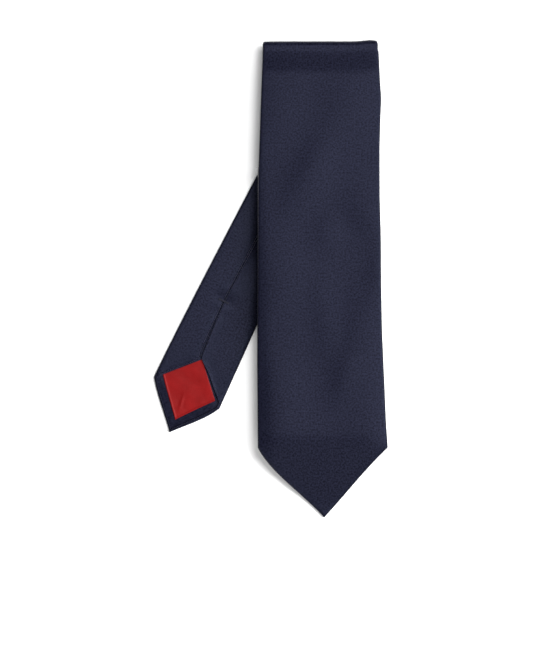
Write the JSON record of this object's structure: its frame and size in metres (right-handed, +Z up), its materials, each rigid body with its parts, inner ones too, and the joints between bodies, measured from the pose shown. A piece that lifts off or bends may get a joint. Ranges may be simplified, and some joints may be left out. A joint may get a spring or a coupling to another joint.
{
  "type": "necktie",
  "caption": "Navy silk necktie folded flat in layers, front blade upwards, its tail turned out to one side to show the seamed back and red lining.",
  "frame": {"origin": "middle of the rectangle that the folded tie covers, on the surface it lies on", "axes": "+Z up from that surface, +Y along the front blade from its point to the first fold, +X to the right of the face"},
  "size_m": [0.1436, 0.294, 0.0172],
  "materials": {
    "silk": "fine silk twill, soft satin sheen",
    "interlining": "brushed wool canvas",
    "lining_satin": "smooth satin",
    "thread": "twisted sewing thread",
    "label_satin": "plain woven satin ribbon"
  },
  "bodies": {
    "front_blade": {"front_blade_shell": "silk", "front_blade_interlining": "interlining", "front_blade_seam_thread": "thread", "front_tipping": "lining_satin", "front_bar_tack": "thread", "keeper_loop": "silk", "maker_label": "label_satin", "care_label": "label_satin", "fold_1_shell": "silk", "fold_1_interlining": "interlining"},
    "second_layer": {"second_layer_shell": "silk", "second_layer_interlining": "interlining", "second_layer_seam_thread": "thread", "fold_2_shell": "silk", "fold_2_interlining": "interlining"},
    "third_layer": {"third_layer_front_panel": "silk", "third_layer_neck_panel": "silk", "third_layer_interlining": "interlining", "third_layer_seam_thread": "thread", "fold_3_shell": "silk", "fold_3_interlining": "interlining"},
    "fourth_layer": {"fourth_layer_shell": "silk", "fourth_layer_interlining": "interlining", "fourth_layer_seam_thread": "thread", "fold_4_shell": "silk", "fold_4_interlining": "interlining"},
    "fifth_layer": {"fifth_layer_neck_panel": "silk", "fifth_layer_tail_panel": "silk", "fifth_layer_interlining": "interlining", "fifth_layer_seam_thread": "thread", "fold_5_shell": "silk", "fold_5_interlining": "interlining"},
    "tail": {"tail_shell": "silk", "tail_interlining": "interlining", "tail_seam_thread": "thread", "tail_tipping": "lining_satin", "tail_bar_tack": "thread"}
  },
  "joints": [
    {"name": "fold_1", "type": "hinge", "parent": "front_blade", "child": "second_layer", "pos_m": [0.03179, 0.14699, 0.0114], "axis": [1, 0, 0], "range_deg": [0, 179.5], "deforming": ["fold_1_shell", "fold_1_interlining"]},
    {"name": "fold_2", "type": "hinge", "parent": "second_layer", "child": "third_layer", "pos_m": [0.03179, -0.10252, 0.01065], "axis": [-1, 0, 0], "range_deg": [0, 179.5], "deforming": ["fold_2_shell", "fold_2_interlining"]},
    {"name": "fold_3", "type": "hinge", "parent": "third_layer", "child": "fourth_layer", "pos_m": [0.03179, 0.12762, 0.00795], "axis": [1, 0, 0], "range_deg": [0, 179.5], "deforming": ["fold_3_shell", "fold_3_interlining"]},
    {"name": "fold_4", "type": "hinge", "parent": "fourth_layer", "child": "fifth_layer", "pos_m": [0.03179, -0.10252, 0.00525], "axis": [-1, 0, 0], "range_deg": [0, 179.5], "deforming": ["fold_4_shell", "fold_4_interlining"]},
    {"name": "fold_5", "type": "hinge", "parent": "fifth_layer", "child": "tail", "pos_m": [0.03226, 0.10472, 0.00255], "axis": [0.975, -0.2224, 0], "range_deg": [0, 179.5], "deforming": ["fold_5_shell", "fold_5_interlining"]}
  ],
  "couplings": [
    {"joint": "fold_2", "follows": "fold_1", "ratio": 1},
    {"joint": "fold_3", "follows": "fold_1", "ratio": 1},
    {"joint": "fold_4", "follows": "fold_1", "ratio": 1}
  ]
}
